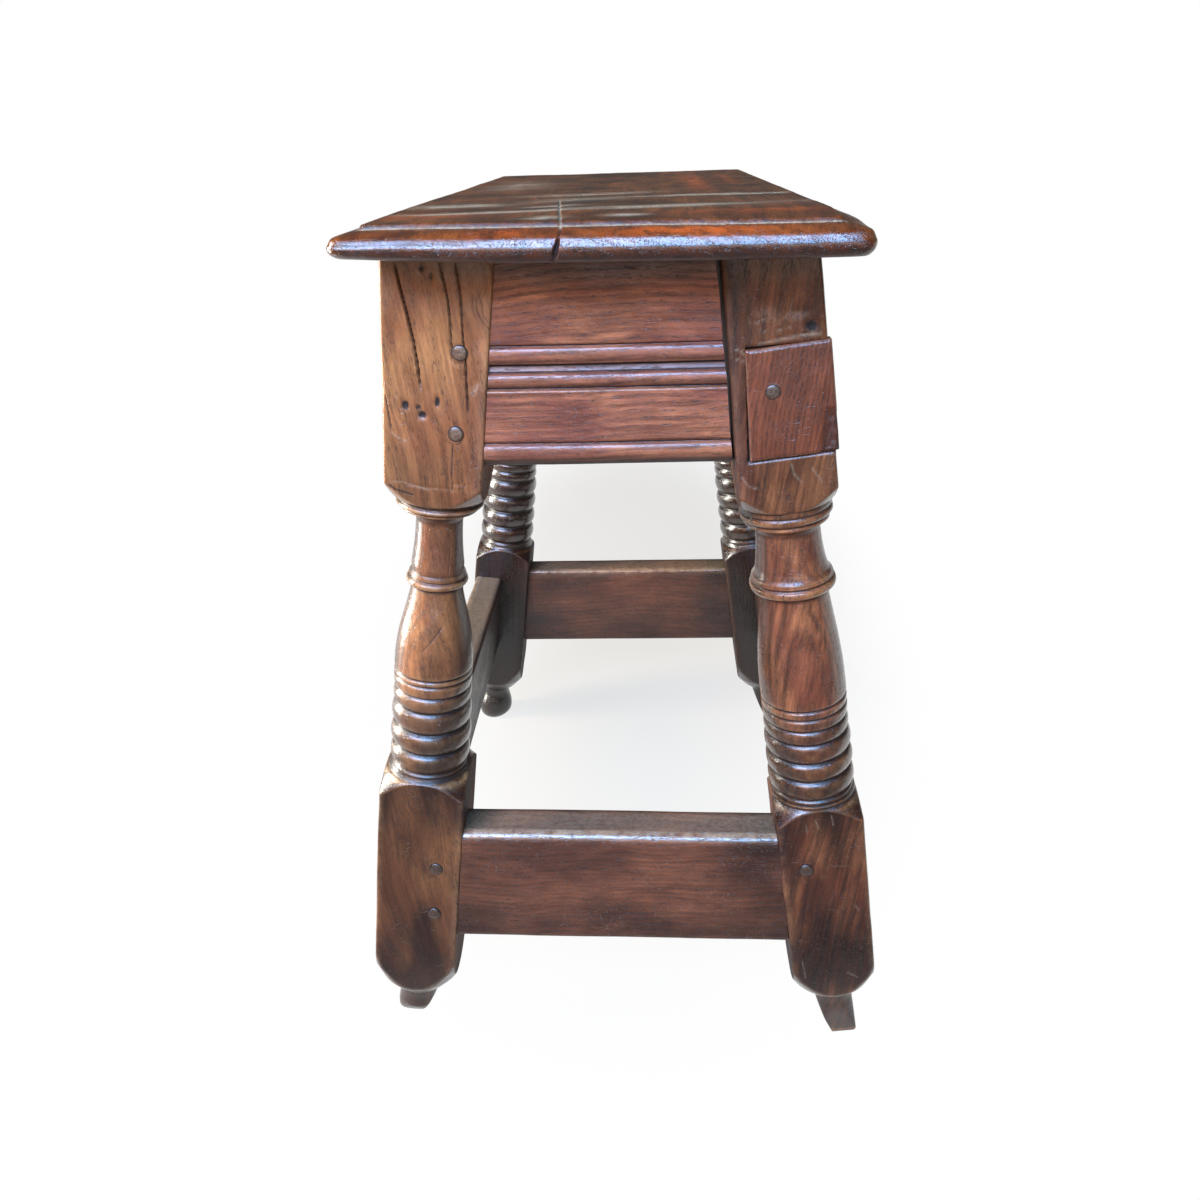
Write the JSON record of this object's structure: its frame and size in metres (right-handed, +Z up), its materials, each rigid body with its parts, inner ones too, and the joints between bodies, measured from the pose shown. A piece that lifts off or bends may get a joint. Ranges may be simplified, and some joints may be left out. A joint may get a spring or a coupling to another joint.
{
  "type": "joint stool",
  "caption": "Small oak joint stool: thumb-moulded board seat, moulded rails, turned splayed legs and plain stretchers, all pegged.",
  "frame": {"origin": "on the floor under the middle of the seat", "axes": "+Z up, +Y along the seat's long way, +X across it; the pictured end is at -Y"},
  "size_m": [0.3284, 0.53, 0.54],
  "materials": {
    "oak_seat": "old oak, dark wax polish worn on the moulding",
    "oak_leg": "old oak, dark wax in the turnings, worn on the high parts",
    "oak_rail": "old oak, dark wax polish",
    "oak_stretcher": "old oak, dry and scuffed, top arris worn",
    "oak_patch": "oak patch, stained to match",
    "oak_peg": "cleft oak peg, end grain, dark"
  },
  "bodies": {
    "root": {"seat_top": "oak_seat", "leg_front_left": "oak_leg", "leg_front_right": "oak_leg", "leg_back_left": "oak_leg", "leg_back_right": "oak_leg", "apron_front_end": "oak_rail", "apron_back_end": "oak_rail", "apron_left_side": "oak_rail", "apron_right_side": "oak_rail", "stretcher_front_end": "oak_stretcher", "stretcher_back_end": "oak_stretcher", "stretcher_left_side": "oak_stretcher", "stretcher_right_side": "oak_stretcher", "leg_patch": "oak_patch", "leg_patch_peg": "oak_peg", "pegs_apron_front_left": "oak_peg", "pegs_apron_front_right": "oak_peg", "pegs_apron_back_left": "oak_peg", "pegs_apron_back_right": "oak_peg", "pegs_stretcher_front_left": "oak_peg", "pegs_stretcher_front_right": "oak_peg", "pegs_stretcher_back_left": "oak_peg", "pegs_stretcher_back_right": "oak_peg", "pegs_seat": "oak_peg"}
  },
  "joints": []
}
